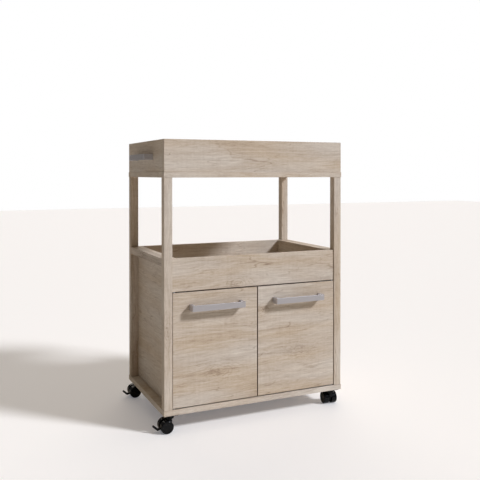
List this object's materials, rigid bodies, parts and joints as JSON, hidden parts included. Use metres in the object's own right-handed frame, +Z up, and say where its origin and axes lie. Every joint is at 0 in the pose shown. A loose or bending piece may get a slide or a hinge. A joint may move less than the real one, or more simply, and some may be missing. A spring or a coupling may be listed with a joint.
{
  "type": "serving cart",
  "caption": "Serving cart with a walled tray on top, an open bay over a second tray, a two-door cabinet below, side handles and twin-wheel swivel casters.",
  "frame": {"origin": "on the floor under the middle of the whole cart, handles included", "axes": "+Z up, -Y towards someone standing at the doors, +X to their right"},
  "size_m": [0.658, 0.4134, 0.855],
  "materials": {
    "oak_board": "laminated board with a pale sawn-oak grain, satin",
    "hardboard": "thin sheet with the same printed grain, matt",
    "beech": "plain turned dowel",
    "handle_steel": "satin, brushed along its length",
    "zinc_steel": "bright zinc plating",
    "black_steel": "pressed steel, dip painted black",
    "wheel_nylon": "moulded black nylon, glossy",
    "black_plastic": "moulded black, satin"
  },
  "bodies": {
    "cart": {"bottom_board": "oak_board", "top_board": "oak_board", "front_left_post": "oak_board", "front_right_post": "oak_board", "rear_left_post": "oak_board", "rear_right_post": "oak_board", "left_side_rail": "oak_board", "right_side_rail": "oak_board", "left_side_panel": "oak_board", "right_side_panel": "oak_board", "lower_tray_front": "oak_board", "lower_tray_back": "oak_board", "lower_tray_floor": "oak_board", "cabinet_back": "hardboard", "cabinet_shelf": "oak_board", "shelf_pins": "zinc_steel", "top_tray_front_wall": "oak_board", "top_tray_back_wall": "oak_board", "top_tray_left_wall": "oak_board", "top_tray_right_wall": "oak_board", "left_tray_handle": "handle_steel", "right_tray_handle": "handle_steel", "tray_handle_screws": "zinc_steel", "dowels": "beech", "frame_screws": "zinc_steel", "case_hinge_leaves": "zinc_steel", "wood_screws": "zinc_steel", "magnet_catches": "black_plastic", "front_left_caster_plate": "black_steel", "front_right_caster_plate": "black_steel", "rear_left_caster_plate": "black_steel", "rear_right_caster_plate": "black_steel"},
    "left_door": {"left_door": "oak_board", "left_door_handle": "handle_steel", "left_door_hinge_leaves": "zinc_steel", "left_strike_plate": "zinc_steel", "left_door_screws": "zinc_steel"},
    "right_door": {"right_door": "oak_board", "right_door_handle": "handle_steel", "right_door_hinge_leaves": "zinc_steel", "right_strike_plate": "zinc_steel", "right_door_screws": "zinc_steel"},
    "front_left_swivel": {"front_left_caster_housing": "black_plastic", "front_left_caster_axle": "zinc_steel"},
    "front_left_inner_wheel": {"front_left_inner_wheel": "wheel_nylon"},
    "front_left_outer_wheel": {"front_left_outer_wheel": "wheel_nylon"},
    "front_left_brake": {"front_left_brake_lever": "black_plastic"},
    "front_right_swivel": {"front_right_caster_housing": "black_plastic", "front_right_caster_axle": "zinc_steel"},
    "front_right_inner_wheel": {"front_right_inner_wheel": "wheel_nylon"},
    "front_right_outer_wheel": {"front_right_outer_wheel": "wheel_nylon"},
    "rear_left_swivel": {"rear_left_caster_housing": "black_plastic", "rear_left_caster_axle": "zinc_steel"},
    "rear_left_inner_wheel": {"rear_left_inner_wheel": "wheel_nylon"},
    "rear_left_outer_wheel": {"rear_left_outer_wheel": "wheel_nylon"},
    "rear_left_brake": {"rear_left_brake_lever": "black_plastic"},
    "rear_right_swivel": {"rear_right_caster_housing": "black_plastic", "rear_right_caster_axle": "zinc_steel"},
    "rear_right_inner_wheel": {"rear_right_inner_wheel": "wheel_nylon"},
    "rear_right_outer_wheel": {"rear_right_outer_wheel": "wheel_nylon"}
  },
  "joints": [
    {"name": "left_door_hinge", "type": "hinge", "parent": "cart", "child": "left_door", "pos_m": [-0.2681, -0.17345, 0.23915], "axis": [0, 0, -1], "range_deg": [0, 110]},
    {"name": "right_door_hinge", "type": "hinge", "parent": "cart", "child": "right_door", "pos_m": [0.2681, -0.17345, 0.23915], "axis": [0, 0, 1], "range_deg": [0, 110]},
    {"name": "front_left_swivel", "type": "hinge", "parent": "cart", "child": "front_left_swivel", "pos_m": [-0.275, -0.15755, 0.04], "axis": [0, 0, 1], "continuous": true},
    {"name": "front_left_inner_roll", "type": "hinge", "parent": "front_left_swivel", "child": "front_left_inner_wheel", "pos_m": [-0.2895, -0.15755, 0.019], "axis": [0, 1, 0], "continuous": true},
    {"name": "front_left_outer_roll", "type": "hinge", "parent": "front_left_swivel", "child": "front_left_outer_wheel", "pos_m": [-0.2895, -0.15755, 0.019], "axis": [0, 1, 0], "continuous": true},
    {"name": "front_left_brake", "type": "hinge", "parent": "front_left_swivel", "child": "front_left_brake", "pos_m": [-0.2895, -0.15755, 0.019], "axis": [0, -1, 0], "range_deg": [0, 14]},
    {"name": "front_right_swivel", "type": "hinge", "parent": "cart", "child": "front_right_swivel", "pos_m": [0.275, -0.15755, 0.04], "axis": [0, 0, 1], "continuous": true},
    {"name": "front_right_inner_roll", "type": "hinge", "parent": "front_right_swivel", "child": "front_right_inner_wheel", "pos_m": [0.27677, -0.14316, 0.019], "axis": [0.9925, -0.1219, 0], "continuous": true},
    {"name": "front_right_outer_roll", "type": "hinge", "parent": "front_right_swivel", "child": "front_right_outer_wheel", "pos_m": [0.27677, -0.14316, 0.019], "axis": [0.9925, -0.1219, 0], "continuous": true},
    {"name": "rear_left_swivel", "type": "hinge", "parent": "cart", "child": "rear_left_swivel", "pos_m": [-0.275, 0.18345, 0.04], "axis": [0, 0, 1], "continuous": true},
    {"name": "rear_left_inner_roll", "type": "hinge", "parent": "rear_left_swivel", "child": "rear_left_inner_wheel", "pos_m": [-0.2895, 0.18345, 0.019], "axis": [0, 1, 0], "continuous": true},
    {"name": "rear_left_outer_roll", "type": "hinge", "parent": "rear_left_swivel", "child": "rear_left_outer_wheel", "pos_m": [-0.2895, 0.18345, 0.019], "axis": [0, 1, 0], "continuous": true},
    {"name": "rear_left_brake", "type": "hinge", "parent": "rear_left_swivel", "child": "rear_left_brake", "pos_m": [-0.2895, 0.18345, 0.019], "axis": [0, -1, 0], "range_deg": [0, 14]},
    {"name": "rear_right_swivel", "type": "hinge", "parent": "cart", "child": "rear_right_swivel", "pos_m": [0.275, 0.18345, 0.04], "axis": [0, 0, 1], "continuous": true},
    {"name": "rear_right_inner_roll", "type": "hinge", "parent": "rear_right_swivel", "child": "rear_right_inner_wheel", "pos_m": [0.27004, 0.16982, 0.019], "axis": [-0.9397, 0.342, 0], "continuous": true},
    {"name": "rear_right_outer_roll", "type": "hinge", "parent": "rear_right_swivel", "child": "rear_right_outer_wheel", "pos_m": [0.27004, 0.16982, 0.019], "axis": [-0.9397, 0.342, 0], "continuous": true}
  ]
}
